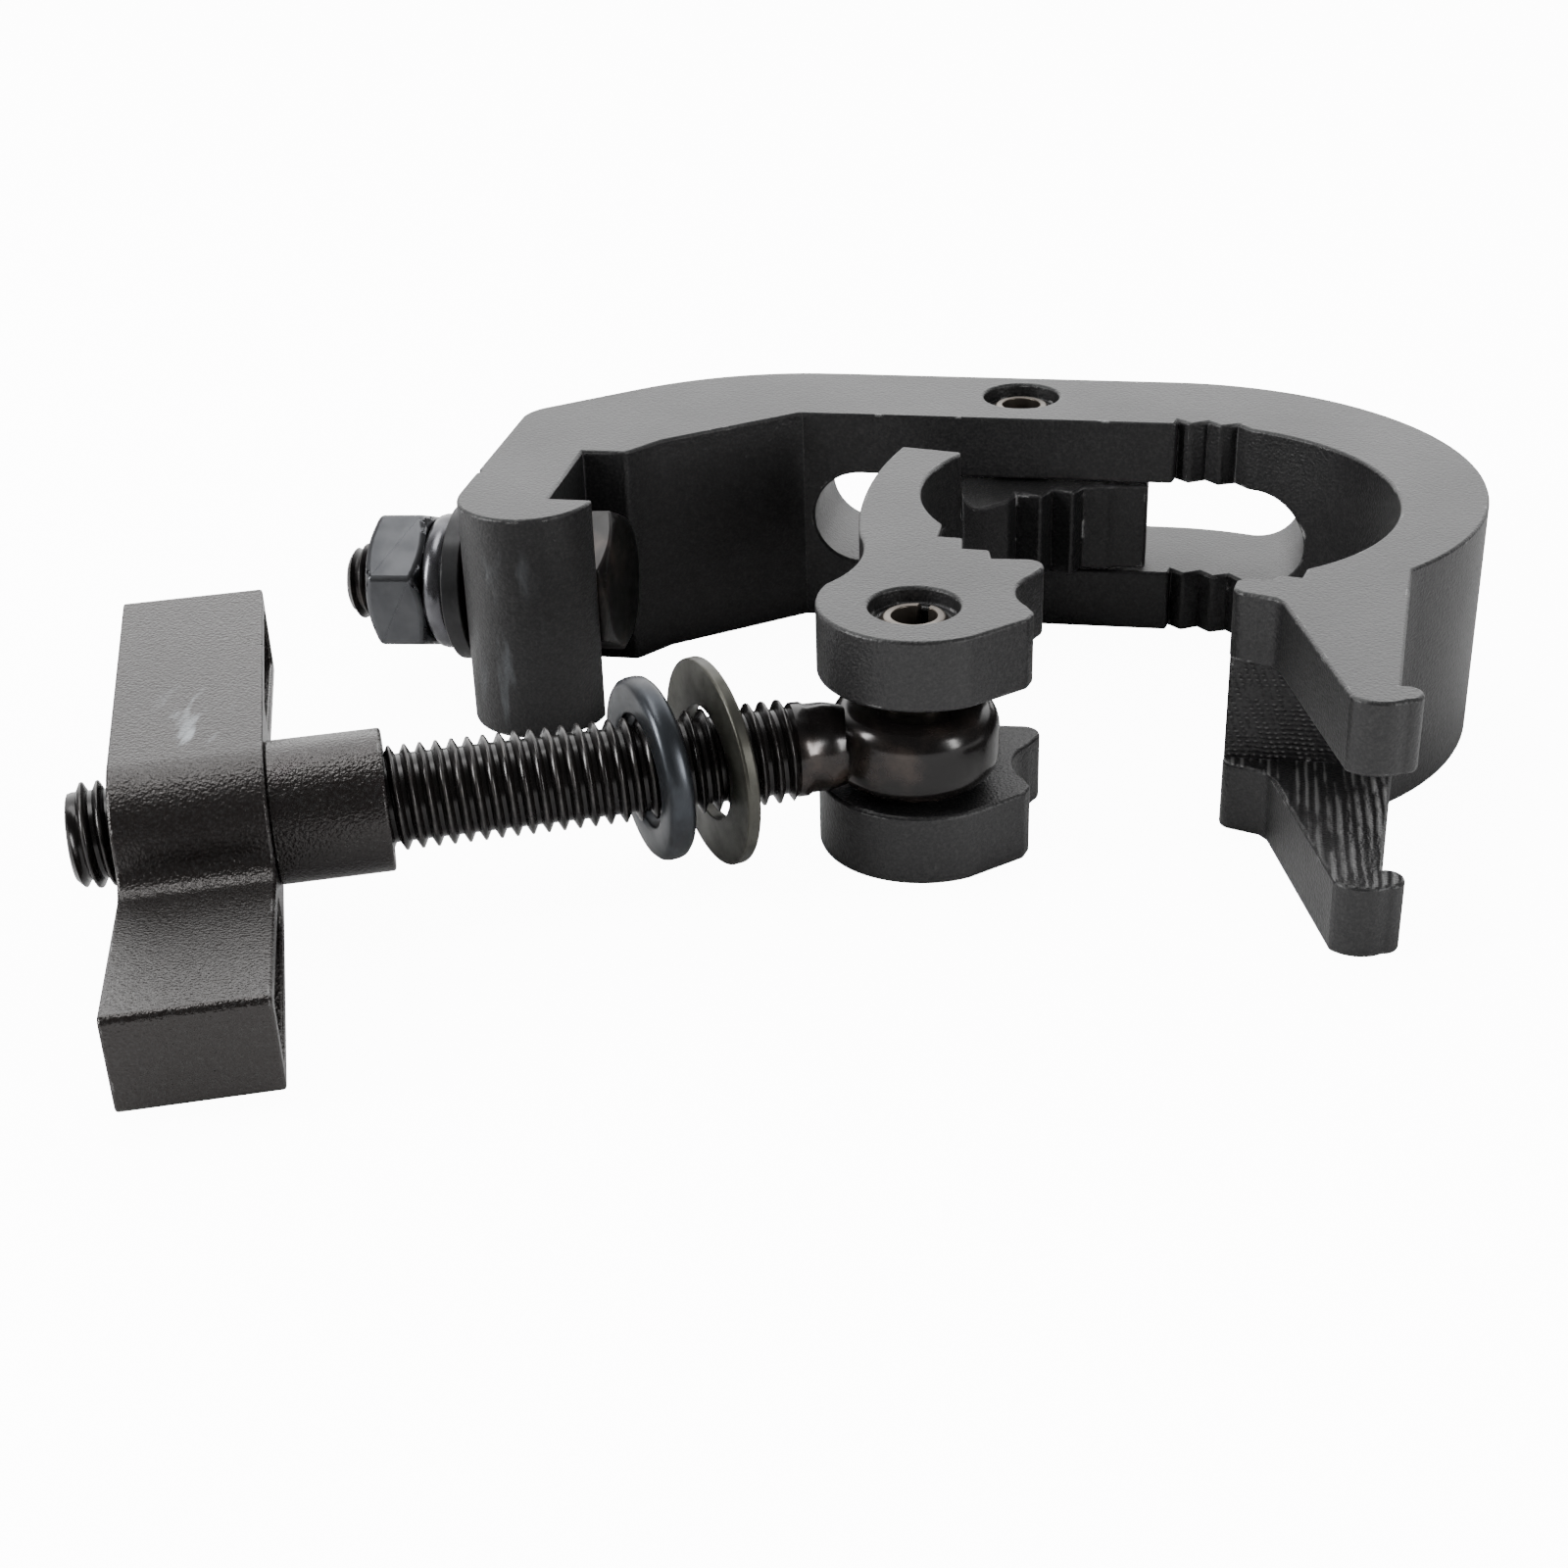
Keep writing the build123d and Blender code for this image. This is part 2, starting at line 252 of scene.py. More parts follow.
@dataclass(frozen=True)
class PowderCoat:
    """Black satin powder coat with orange peel, thin and chipped on the edges."""

    name: str = "powder coat"
    colour: tuple[float, float, float, float] = (0.0055, 0.0055, 0.006, 1)
    worn: tuple[float, float, float, float] = (0.16, 0.16, 0.165, 1)
    roughness: float = 0.44
    peel: float = 0.35
    milled: bool = False
    scuffs: tuple[tuple[float, float, float], ...] = ()
    streak: tuple[float, float, float] = (1.0, 0.25, 1.0)
    chalk: float = 0.6
    tint: tuple[float, float, float, float] = (1.0, 1.0, 1.0, 1.0)

    def make(self) -> bpy.types.Material:
        """Builds the material."""
        g = Graph(self.name)
        patches = g.noise(55.0, 4.0)
        edge = g.edge(0.0006)
        rub = g.ramp(g.math("MULTIPLY", edge, g.ramp(patches, 0.35, 0.65)), 0.02, 0.2)
        chips = g.math("MULTIPLY", g.ramp(edge, 0.02, 0.08), g.ramp(g.noise(330.0, 3.0), 0.6, 0.66))
        dust = g.ramp(g.noise(900.0, 3.0), 0.68, 0.8)
        grain = g.noise(2600.0, 2.0)
        base = g.mix(g.ramp(grain, 0.4, 0.75), self.colour, (0.016, 0.0155, 0.0155, 1))
        base = g.mix(g.math("MULTIPLY", dust, 0.1), base, (0.16, 0.16, 0.16, 1))
        base = g.mix(g.math("MULTIPLY", rub, 0.8), base, self.worn)
        base = g.mix(g.math("MULTIPLY", chips, 0.9), base, (0.45, 0.45, 0.45, 1))
        for place in self.scuffs:
            base = g.mix(self.scuff(g, place), base, (0.34, 0.37, 0.4, 1))
        if self.milled:
            cut = self.slot_mask(g)
            score = g.math("MULTIPLY", self.tool_marks(g), cut)
            base = g.mix(g.math("MULTIPLY", g.ramp(score, 0.45, 0.95), 0.8), base, (0.11, 0.11, 0.11, 1))
            g.bump(score, 0.7, 0.00025)
        g.colour(base)
        g.shader.inputs["Specular Tint"].default_value = self.tint
        g.rough(g.math("ADD", g.math("MULTIPLY", patches, 0.1), self.roughness - 0.05))
        g.bump(g.noise(2900.0, 1.5), self.peel, 0.0003)
        return g.material

    def tool_marks(self, g: Graph) -> bpy.types.NodeSocket:
        """The cutter's scores: long lines on the slot's flats, short dashes on its end wall."""
        wander = g.math("MULTIPLY", g.noise(260.0, 2.0, g.place(scale=(1.0, 0.3, 1.0))), 5.0)
        across = g.math("ADD", g.math("MULTIPLY", g.axis(0), 2 * math.pi / 0.00105), wander)
        lines = g.math("MULTIPLY_ADD", g.math("SINE", across), 0.5, 0.5)
        rows = g.math("ADD", g.math("MULTIPLY", g.axis(2), 2 * math.pi / 0.0006), wander)
        columns = g.math("MULTIPLY", g.axis(0), 2 * math.pi / 0.0009)
        slant = g.math("ADD", columns, g.math("MULTIPLY", rows, 0.25))
        hatch = g.math("MULTIPLY_ADD", g.math("SINE", slant), 0.35, 0.65)
        dashes = g.math("MULTIPLY", g.math("MULTIPLY_ADD", g.math("SINE", rows), 0.4, 0.5), hatch)
        flat = g.math("GREATER_THAN", g.math("ABSOLUTE", g.normal(2)), 0.7)
        broken = g.ramp(g.noise(520.0, 3.0, g.place(scale=(1.0, 0.25, 1.0))), 0.3, 0.6)
        on_flats = g.math("MULTIPLY", lines, flat)
        on_wall = g.math("MULTIPLY", dashes, g.math("SUBTRACT", 1.0, flat))
        return g.math("MULTIPLY", g.math("ADD", on_flats, on_wall), broken)

    def slot_mask(self, g: Graph) -> bpy.types.NodeSocket:
        """1 inside the fork's milled slot, 0 elsewhere."""
        inside = g.math("LESS_THAN", g.math("ABSOLUTE", g.axis(2)), 0.00662)
        front = g.math("LESS_THAN", g.axis(1), -0.0279)
        right = g.math("GREATER_THAN", g.axis(0), 0.006)
        return g.math("MULTIPLY", g.math("MULTIPLY", inside, front), right)

    def scuff(self, g: Graph, place: tuple[float, float, float]) -> bpy.types.NodeSocket:
        """A faint chalky smear round a point."""
        node = g.tree.nodes.new("ShaderNodeVectorMath")
        node.operation = "DISTANCE"
        g.link(g.coords, node.inputs[0])
        node.inputs[1].default_value = place
        near = g.math("SUBTRACT", 1.0, g.ramp(node.outputs["Value"], 0.001, 0.0065))
        streak = g.ramp(g.noise(420.0, 4.0, g.place((0, 0, 25), self.streak)), 0.52, 0.72)
        return g.math("MULTIPLY", g.math("MULTIPLY", near, streak), self.chalk)


@dataclass(frozen=True)
class BlackedSteel:
    """Blacked and oiled screw steel, glossy with a brown cast."""

    name: str = "blacked steel"
    colour: tuple[float, float, float, float] = (0.009, 0.0078, 0.0075, 1)
    roughness: float = 0.2
    metallic: float = 0.35

    def make(self) -> bpy.types.Material:
        """Builds the material."""
        g = Graph(self.name)
        patches = g.noise(140.0, 4.0)
        g.colour(g.mix(g.ramp(patches, 0.5, 0.8), self.colour, (0.06, 0.045, 0.038, 1)))
        g.rough(g.math("ADD", g.math("MULTIPLY", g.noise(420.0), 0.22), self.roughness - 0.08))
        g.shader.inputs["Metallic"].default_value = self.metallic
        g.bump(g.noise(700.0, 3.0), 0.12, 0.00006)
        return g.material

    def make_thread(self, axle: "Axle", crest: float, depth: float) -> bpy.types.Material:
        """The same finish with the thread's crests lighter: partly rubbed wear, partly a painted highlight.

        Args:
            axle: the line the thread winds round.
            crest: its outer radius, in millimetres.
            depth: how deep the vee is, in millimetres.

        Returns:
            The material.
        """
        g = Graph(self.name)
        radius = g.reach(tuple(axle.origin()), tuple(axle.heading()))
        # Painted highlight and wear: the crests are lightened all round the thread, standing in for both
        # rubbed steel and the glints of light along them.
        crest_wear_and_highlight = g.ramp(radius, (crest - 0.1 * depth) * MM, crest * MM)
        crest_wear_and_highlight = g.math("MULTIPLY", crest_wear_and_highlight, g.ramp(g.noise(300.0, 3.0), 0.38, 0.6))
        g.colour(g.mix(g.math("MULTIPLY", crest_wear_and_highlight, 0.35), self.colour, (0.16, 0.15, 0.145, 1)))
        g.rough(g.math("ADD", g.math("MULTIPLY", g.noise(420.0), 0.2), self.roughness - 0.06))
        g.shader.inputs["Metallic"].default_value = self.metallic
        return g.material


@dataclass(frozen=True)
class PlainSteel:
    """Bare or plated steel with fine scratches."""

    name: str = "plain steel"
    colour: tuple[float, float, float, float] = (0.2, 0.2, 0.19, 1)
    stain: tuple[float, float, float, float] = (0.1, 0.1, 0.09, 1)
    roughness: float = 0.38
    metallic: float = 0.9

    def make(self) -> bpy.types.Material:
        """Builds the material."""
        g = Graph(self.name)
        patches = g.noise(260.0, 4.0)
        scratches = g.noise(1500.0, 2.0, g.place((20, 0, 35), (1.0, 0.05, 1.0)))
        g.colour(g.mix(g.ramp(patches, 0.35, 0.7), self.colour, self.stain))
        g.rough(g.math("ADD", g.math("MULTIPLY", patches, 0.2), self.roughness - 0.1))
        g.shader.inputs["Metallic"].default_value = self.metallic
        g.bump(scratches, 0.1, 0.00004)
        return g.material


# --- mesh helpers -----------------------------------------------------------------------------


def add_object(name: str, mesh: bpy.types.Mesh) -> bpy.types.Object:
    """Puts a mesh in the scene as an object at the origin."""
    obj = bpy.data.objects.new(name, mesh)
    bpy.context.scene.collection.objects.link(obj)
    return obj


def profile_object(name: str, points: Sequence[tuple[float, float]]) -> bpy.types.Object:
    """An open profile in the XZ plane, given in millimetres.

    Args:
        name: the object's name.
        points: radius and height, from top to bottom.

    Returns:
        The object, ready for a Screw.
    """
    mesh = bpy.data.meshes.new(name)
    vertices = [(r * MM, 0.0, z * MM) for r, z in points]
    mesh.from_pydata(vertices, [(i, i + 1) for i in range(len(vertices) - 1)], [])
    return add_object(name, mesh)


def apply_stack(obj: bpy.types.Object, place: Optional[Matrix] = None) -> bpy.types.Object:
    """Applies an object's modifiers, then puts its place in its mesh.

    Args:
        obj: the object.
        place: where it goes.

    Returns:
        The same object.
    """
    bpy.context.view_layer.update()
    evaluated = obj.evaluated_get(bpy.context.evaluated_depsgraph_get())
    mesh = bpy.data.meshes.new_from_object(evaluated)
    obj.modifiers.clear()
    obj.data = mesh
    if place is not None:
        mesh.transform(place)
    mesh.update()
    return obj


def smooth(obj: bpy.types.Object, angle: float = 35.0) -> bpy.types.Object:
    """Shades an object smooth, with creases past an angle."""
    mesh = obj.data
    mesh.polygons.foreach_set("use_smooth", [True] * len(mesh.polygons))
    work = bmesh.new()
    work.from_mesh(mesh)
    limit = math.radians(angle)
    for edge in work.edges:
        if len(edge.link_faces) == 2:
            edge.smooth = edge.calc_face_angle(0.0) < limit
    work.to_mesh(mesh)
    work.free()
    return obj


def close_ends(work: bmesh.types.BMesh) -> None:
    """Fills a mesh's open rims and turns its faces outwards."""
    rims = [edge for edge in work.edges if len(edge.link_faces) == 1]
    bmesh.ops.holes_fill(work, edges=rims, sides=0)
    bmesh.ops.recalc_face_normals(work, faces=work.faces)


def merged_copy(node: str, name: str) -> bpy.types.Object:
    """A joined-up copy of a CAD node, its flats made whole again.

    Args:
        node: the CAD node.
        name: the copy's name.

    Returns:
        The copy, at the origin.
    """
    mesh = frame["nodes"][node].data.copy()
    mesh.name = name
    mesh.materials.clear()
    work = bmesh.new()
    work.from_mesh(mesh)
    bmesh.ops.remove_doubles(work, verts=work.verts, dist=0.001 * MM)
    bmesh.ops.dissolve_limit(
        work,
        angle_limit=math.radians(0.6),
        verts=work.verts,
        edges=work.edges,
        use_dissolve_boundaries=False,
    )
    work.to_mesh(mesh)
    work.free()
    return add_object(name, mesh)


def ease_edges(obj: bpy.types.Object, width: float, segments: int = 2) -> bpy.types.Object:
    """Rounds an object's sharp outer corners with a live Bevel, and leaves the inner ones.

    Args:
        obj: the object.
        width: how far the round reaches, in millimetres.
        segments: how many faces it has across.

    Returns:
        The same object.
    """
    weights = obj.data.attributes.new("bevel_weight_edge", "FLOAT", "EDGE")
    work = bmesh.new()
    work.from_mesh(obj.data)
    sharp = [
        float(len(edge.link_faces) == 2 and edge.is_convex and edge.calc_face_angle(0.0) > SHARP)
        for edge in work.edges
    ]
    work.free()
    weights.data.foreach_set("value", sharp)
    bevel = obj.modifiers.new("eased edges", "BEVEL")
    bevel.width = width * MM
    bevel.segments = segments
    bevel.limit_method = "WEIGHT"
    bevel.use_clamp_overlap = False
    weigh = obj.modifiers.new("flat sides", "WEIGHTED_NORMAL")
    weigh.keep_sharp = True
    return obj


# --- sub-assemblies ---------------------------------------------------------------------------


@dataclass
class Axle:
    """The line a screw or a joint turns on, read from a joint of the CAD model."""

    joint: str

    def record(self) -> dict:
        """The joint's entry in the record."""
        joints = frame["record"]["behaviour"]["joints"]
        return next(entry for entry in joints if entry["name"] == self.joint)

    def origin(self) -> Vector:
        """The point the joint turns about."""
        return Vector(self.record()["pos_m"])

    def heading(self) -> Vector:
        """The unit vector along the joint's axis."""
        return Vector(self.record()["axis"]).normalized()

    def place(self, distance: float = 0.0) -> Matrix:
        """A frame on the axle: local z runs along it, local y is as upright as it can be.

        Args:
            distance: how far along the axle, in millimetres.

        Returns:
            The frame's matrix.
        """
        along = self.heading()
        across = Vector((0, 0, 1)).cross(along).normalized()
        up = along.cross(across)
        turn = Matrix((across, up, along)).transposed().to_4x4()
        return Matrix.Translation(self.origin() + along * distance * MM) @ turn


@dataclass
class Piece:
    """A CAD node shown with eased edges."""

    node: str
    body: str
    slot: Slot
    width: float = 0.3
    segments: int = 2

    def build(self, keep: Optional[Callable[[bpy.types.Object], None]] = None) -> bpy.types.Object:
        """Copies the node, joins it up and rounds its edges.

        Args:
            keep: trims the copy before its edges are eased.

        Returns:
            The new object.
        """
        obj = merged_copy(self.node, self.node + "_eased")
        if keep is not None:
            keep(obj)
        smooth(obj)
        ease_edges(obj, self.width, self.segments)
        attach(obj, self.body, self.node)
        return obj


def attach(obj: bpy.types.Object, body: str, node: Optional[str] = None) -> None:
    """Lets an object ride on a body, and stand for a CAD node.

    Args:
        obj: the object.
        body: the body it moves with.
        node: the node it replaces.
    """
    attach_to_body(obj, body)
    if node is not None:
        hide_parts(node)
    log.info("built %s, %d faces", obj.name, len(obj.data.polygons))


@dataclass
class Thread:
    """A vee thread on a rod along +Z at its own origin."""

    name: str
    crest: float
    pitch: float
    start: float
    end: float
    depth: float
    chamfer: float = 1.1
    steps: int = 40

    def profile(self) -> list[tuple[float, float]]:
        """One tooth, from top to bottom."""
        root = self.crest - self.depth
        flat = self.pitch / 16
        half = self.pitch / 2
        low = self.start - self.pitch
        return [
            (root, low + self.pitch),
            (root, low + self.pitch - flat * 2),
            (self.crest - 0.04, low + half + flat * 1.4),
            (self.crest, low + half),
            (self.crest - 0.04, low + half - flat * 1.4),
            (root, low + flat * 2),
            (root, low),
        ]

    def build(self, place: Matrix) -> bpy.types.Object:
        """Winds the thread, trims both ends and closes them.

        Args:
            place: the rod's frame.

        Returns:
            The threaded rod.
        """
        rod = profile_object(self.name, self.profile())
        screw = rod.modifiers.new("winding", "SCREW")
        screw.steps = screw.render_steps = self.steps
        screw.screw_offset = self.pitch * MM
        screw.iterations = int(math.ceil((self.end - self.start) / self.pitch)) + 2
        screw.use_merge_vertices = True
        screw.merge_threshold = 0.005 * MM
        apply_stack(rod)
        self.trim(rod)
        rod.data.transform(place)
        return smooth(rod, 50.0)

    def trim(self, rod: bpy.types.Object) -> None:
        """Turns the ends down to flat, chamfered faces."""
        root = self.crest - self.depth
        work = bmesh.new()
        work.from_mesh(rod.data)
        for vertex in work.verts:
            z = vertex.co.z / MM
            radius = math.hypot(vertex.co.x, vertex.co.y) / MM
            limit = self.crest - max(0.0, z - (self.end - self.chamfer))
            limit = min(limit, self.crest - max(0.0, self.start + 0.8 - z) * 1.2)
            wanted = min(radius, max(limit, root - 0.25))
            vertex.co.x *= wanted / radius
            vertex.co.y *= wanted / radius
            vertex.co.z = min(max(z, self.start), self.end) * MM
        bmesh.ops.remove_doubles(work, verts=work.verts, dist=0.004 * MM)
        bmesh.ops.dissolve_degenerate(work, edges=work.edges, dist=0.002 * MM)
        close_ends(work)
        work.to_mesh(rod.data)
        work.free()


@dataclass
class SpringWasher:
    """A split spring washer: nearly one turn of a rounded square section."""

    name: str
    inner: float
    outer: float
    thick: float
    rise: float
    split_at: float
    round_by: float = 0.6

    def section(self) -> list[tuple[float, float]]:
        """The section with rounded corners, radius and height, as a closed loop."""
        points = []
        half = self.thick / 2
        corners = [
            (self.outer - self.round_by, half - self.round_by, 90, 0),
            (self.outer - self.round_by, -half + self.round_by, 0, -90),
            (self.inner + self.round_by * 0.5, -half + self.round_by * 0.5, -90, -180),
            (self.inner + self.round_by * 0.5, half - self.round_by * 0.5, 180, 90),
        ]
        for index, (x, z, first, last) in enumerate(corners):
            radius = self.round_by if index < 2 else self.round_by * 0.5
            for step in range(4):
                angle = math.radians(first + (last - first) * step / 3)
                points.append((x + radius * math.cos(angle), z + radius * math.sin(angle)))
        return points

    def build(self, place: Matrix) -> bpy.types.Object:
        """Winds the washer and closes its cut ends.

        Args:
            place: the washer's frame.

        Returns:
            The washer.
        """
        points = self.section()
        mesh = bpy.data.meshes.new(self.name)
        loop = [(i, (i + 1) % len(points)) for i in range(len(points))]
        mesh.from_pydata([(r * MM, 0, (z - self.rise / 2) * MM) for r, z in points], loop, [])
        washer = add_object(self.name, mesh)
        screw = washer.modifiers.new("winding", "SCREW")
        screw.steps = screw.render_steps = 72
        screw.angle = math.radians(352.5)
        screw.screw_offset = self.rise * MM
        apply_stack(washer)
        work = bmesh.new()
        work.from_mesh(washer.data)
        close_ends(work)
        work.to_mesh(washer.data)
        work.free()
        turn = Matrix.Rotation(math.radians(self.split_at), 4, "Z")
        washer.data.transform(place @ turn)
        return smooth(washer, 50.0)


def cut_beyond(place: Matrix, at: float) -> Callable[[bpy.types.Object], None]:
    """A trimmer that cuts a rod square across and drops what lies past the cut.

    Args:
        place: the rod's frame.
        at: where the cut is, in millimetres along it.

    Returns:
        A function for Piece.build.
    """

    def trim(obj: bpy.types.Object) -> None:
        """Cuts the copy and closes the end."""
        along = place.to_3x3() @ Vector((0, 0, 1))
        point = place.translation + along * at * MM
        work = bmesh.new()
        work.from_mesh(obj.data)
        everything = work.verts[:] + work.edges[:] + work.faces[:]
        cut = bmesh.ops.bisect_plane(
            work, geom=everything, dist=1e-7, plane_co=point, plane_no=along, clear_outer=True
        )
        rim = [item for item in cut["geom_cut"] if isinstance(item, bmesh.types.BMEdge)]
        bmesh.ops.holes_fill(work, edges=rim, sides=0)
        work.to_mesh(obj.data)
        work.free()

    return trim


@dataclass
class Extrusions:
    """The hook body and the trigger jaw."""

    edge: float = 0.35

    def build(self) -> None:
        """Builds both sawn extrusions."""
        self.hook = Piece("hook_body", "hook", Slot.BLACK_COAT, self.edge).build()
        self.jaw = Piece("trigger_jaw", "jaw", Slot.BLACK_COAT, self.edge).build()

    def dress(self) -> None:
        """Coats them."""
        smears = ((-0.0826, -0.0165, 0.007), (-0.0823, -0.0166, -0.001), (-0.0824, -0.0166, -0.009))
        hook = PowderCoat("hook coat", milled=True, scuffs=smears, streak=(1.0, 1.0, 0.2), chalk=0.2).make()
        self.hook.data.materials.append(hook)
        self.jaw.data.materials.append(PowderCoat("jaw coat").make())


@dataclass
class SwingBolt:
    """The eyebolt with the loose washers on it."""

    axle: Axle = field(default_factory=lambda: Axle("wing_nut_spin"))
    thread_crest: float = 5.9
    thread_depth: float = 1.0
    thread_pitch: float = 1.75
    thread_start: float = 14.0
    thread_end: float = 94.0
    eye_radius: float = 9.7
    eye_half: float = 4.75
    crown: float = 2.8
    rise: float = 3.4
    bore: float = 4.05
    bore_ease: float = 0.4
    spring_middle: float = 30.4
    spring_turn: float = 12.5
    spring_drop: float = 0.15

    def build(self) -> None:
        """Builds the eye, the thread and the washers."""
        place = self.axle.place()
        self.eye = self.forge_eye(place)
        attach(self.eye, "bolt", "swing_eyebolt")
        thread = Thread(
            "swing_bolt_thread",
            self.thread_crest,
            self.thread_pitch,
            self.thread_start,
            self.thread_end,
            self.thread_depth,
        )
        self.thread = thread.build(place)
        attach(self.thread, "bolt")
        self.flat = Piece("bolt_flat_washer", "flat_washer", Slot.ZINC_STEEL, 0.12, 2).build()
        hang = Matrix.Translation((0, -self.spring_drop * MM, 0))
        hang = hang @ Matrix.Rotation(math.radians(self.spring_turn), 4, "Y")
        spring = SpringWasher("bolt_spring_washer", 6.6, 10.6, 3.1, 0.9, 228.0, 1.1)
        self.spring = spring.build(self.axle.place(self.spring_middle) @ hang)
        attach(self.spring, "spring_washer", "bolt_spring_washer")

    def forge_eye(self, place: Matrix) -> bpy.types.Object:
        """Turns the crowned eye and its neck.

        Args:
            place: the bolt's frame.

        Returns:
            Both as one object.
        """
        eye = profile_object("swing_eyebolt_eye", self.eye_profile())
        eye.modifiers.new("turning", "SCREW")
        neck = profile_object("neck", self.neck_profile())
        neck.modifiers.new("turning", "SCREW")
        for obj, steps in ((eye, 72), (neck, 48)):
            turning = obj.modifiers["turning"]
            turning.steps = turning.render_steps = steps
            turning.use_merge_vertices = True
            turning.merge_threshold = 0.002 * MM
            apply_stack(obj)
        neck.data.transform(place)
        eye.data.transform(Matrix.Translation(place.translation))
        work = bmesh.new()
        work.from_mesh(eye.data)
        work.from_mesh(neck.data)
        bmesh.ops.remove_doubles(work, verts=work.verts, dist=0.002 * MM)
        bmesh.ops.recalc_face_normals(work, faces=work.faces)
        work.to_mesh(eye.data)
        work.free()
        bpy.data.objects.remove(neck)
        return smooth(eye, 40.0)

    def eye_profile(self) -> list[tuple[float, float]]:
        """The eye's section: a bore, flat faces and a crowned rim."""
        half = self.eye_half
        ease = self.bore_ease
        inside = self.eye_radius - self.crown
        turns = [math.radians(90 - 11.25 * step) for step in range(9)]
        rim = [
            (inside + self.crown * math.cos(turn), half - self.rise + self.rise * math.sin(turn))
            for turn in turns
        ]
        below = [(radius, -height) for radius, height in reversed(rim)]
        upper = [(self.bore, half - ease), (self.bore + ease, half)]
        lower = [(self.bore + ease, -half), (self.bore, ease - half), (self.bore, half - ease)]
        return upper + rim + below + lower

    def neck_profile(self) -> list[tuple[float, float]]:
        """The neck, from the thread down into the eye's wall."""
        return [
            (0.0, self.thread_start + 0.6),
            (4.9, self.thread_start + 0.6),
            (5.4, self.thread_start + 0.1),
            (5.4, 13.0),
            (5.1, 12.5),
            (5.05, 10.4),
            (4.85, 9.4),
            (4.5, 8.2),
            (4.3, 6.5),
            (0.0, 6.5),
        ]

    def dress(self) -> None:
        """Gives the bolt and its washers their finishes."""
        self.eye.data.materials.append(BlackedSteel("forged black", roughness=0.17).make())
        # The thread's crests carry rubbed wear and a painted highlight.
        worn = BlackedSteel("thread black", roughness=0.2)
        worn = worn.make_thread(self.axle, self.thread_crest, self.thread_depth)
        self.thread.data.materials.append(worn)
        self.flat.data.materials.append(
            PlainSteel("flat washer", (0.075, 0.074, 0.064, 1), (0.04, 0.039, 0.032, 1), 0.4, 0.8).make()
        )
        self.spring.data.materials.append(
            PlainSteel("spring washer", (0.045, 0.05, 0.058, 1), (0.03, 0.032, 0.036, 1), 0.33, 0.75).make()
        )


@dataclass
class WingNut:
    """The round barrel and the hollow wing."""

    axle: Axle = field(default_factory=lambda: Axle("wing_nut_spin"))

    def build(self) -> None:
        """Builds both."""
        self.barrel = Piece("wing_nut_barrel", "nut", Slot.BLACK_COAT, 0.3).build()
        self.wing = Piece("wing_nut", "wing", Slot.BLACK_COAT, 0.3).build()

    def dress(self) -> None:
        """Coats them, with chalky scuffs on the wing."""
        scuffs = tuple(
            self.axle.place(along) @ Vector((across * MM, up * MM, 0))
            for along, across, up in ((82.0, -1.8, 8.5), (79.0, -10.0, 9.2), (80.5, -5.5, 8.9))
        )
        black = (0.0072, 0.0056, 0.0052, 1)
        warm = (1.0, 0.955, 0.935, 1)
        places = tuple(tuple(place) for place in scuffs)
        wing = PowderCoat("wing coat", black, roughness=0.28, peel=0.5, scuffs=places, tint=warm)
        barrel = PowderCoat("barrel coat", black, roughness=0.25, peel=0.45, tint=warm)
        self.wing.data.materials.append(wing.make())
        self.barrel.data.materials.append(barrel.make())


@dataclass
class RollPins:
    """The two slotted spring pins that hinge the clamp."""

    def build(self) -> None:
        """Builds both."""
        self.pins = [
            Piece("jaw_pivot_pin", "hook", Slot.PIN_STEEL, 0.12).build(),
            Piece("eyebolt_pin", "eye_pin", Slot.PIN_STEEL, 0.12).build(),
        ]

    def dress(self) -> None:
        """Gives them bare brownish steel."""
        steel = PlainSteel("pin steel", (0.16, 0.14, 0.12, 1), (0.07, 0.06, 0.05, 1), 0.35, 0.85).make()
        for pin in self.pins:
            pin.data.materials.append(steel)


@dataclass
class MountingSet:
    """The bolt through the base, with its washers and nut."""

    axle: Axle = field(default_factory=lambda: Axle("mount_nut_spin"))
    thread_start: float = 12.0
    thread_end: float = 30.0
    spring_middle: float = 16.55

    def build(self) -> None:
        """Builds the bolt, its thread, the washers and the nut."""
        place = self.axle.place()
        cut = cut_beyond(place, self.thread_start + 0.5)
        self.bolt = Piece("mounting_bolt", "hook", Slot.BLACK_BOLT, 0.2).build(cut)
        thread = Thread("mounting_bolt_thread", 5.0, 1.5, self.thread_start, self.thread_end, 0.85, 1.0)
        self.thread = thread.build(place)
        attach(self.thread, "hook")
        self.flat = Piece("mount_flat_washer", "mount_washers", Slot.ZINC_STEEL, 0.2).build()
        spring_at = self.axle.place(self.spring_middle)
        self.spring = SpringWasher("mount_spring_washer", 5.3, 8.9, 3.2, 0.0, 120.0, 1.2).build(spring_at)
        attach(self.spring, "mount_washers", "mount_spring_washer")
        self.nut = Piece("mounting_nut", "mount_nut", Slot.BLACK_BOLT, 0.5, 3).build()

    def dress(self) -> None:
        """Gives each its finish."""
        black = BlackedSteel("bolt black", roughness=0.3).make()
        for obj in (self.bolt, self.thread):
            obj.data.materials.append(black)
        self.flat.data.materials.append(
            PlainSteel("mount washer", (0.035, 0.035, 0.036, 1), (0.02, 0.02, 0.021, 1), 0.36, 0.7).make()
        )
        self.spring.data.materials.append(
            PlainSteel("mount spring", (0.13, 0.13, 0.14, 1), (0.07, 0.07, 0.075, 1), 0.26, 0.9).make()
        )
        self.nut.data.materials.append(
            PlainSteel("gunmetal nut", (0.085, 0.087, 0.092, 1), (0.07, 0.072, 0.077, 1), 0.34, 0.9).make()
        )


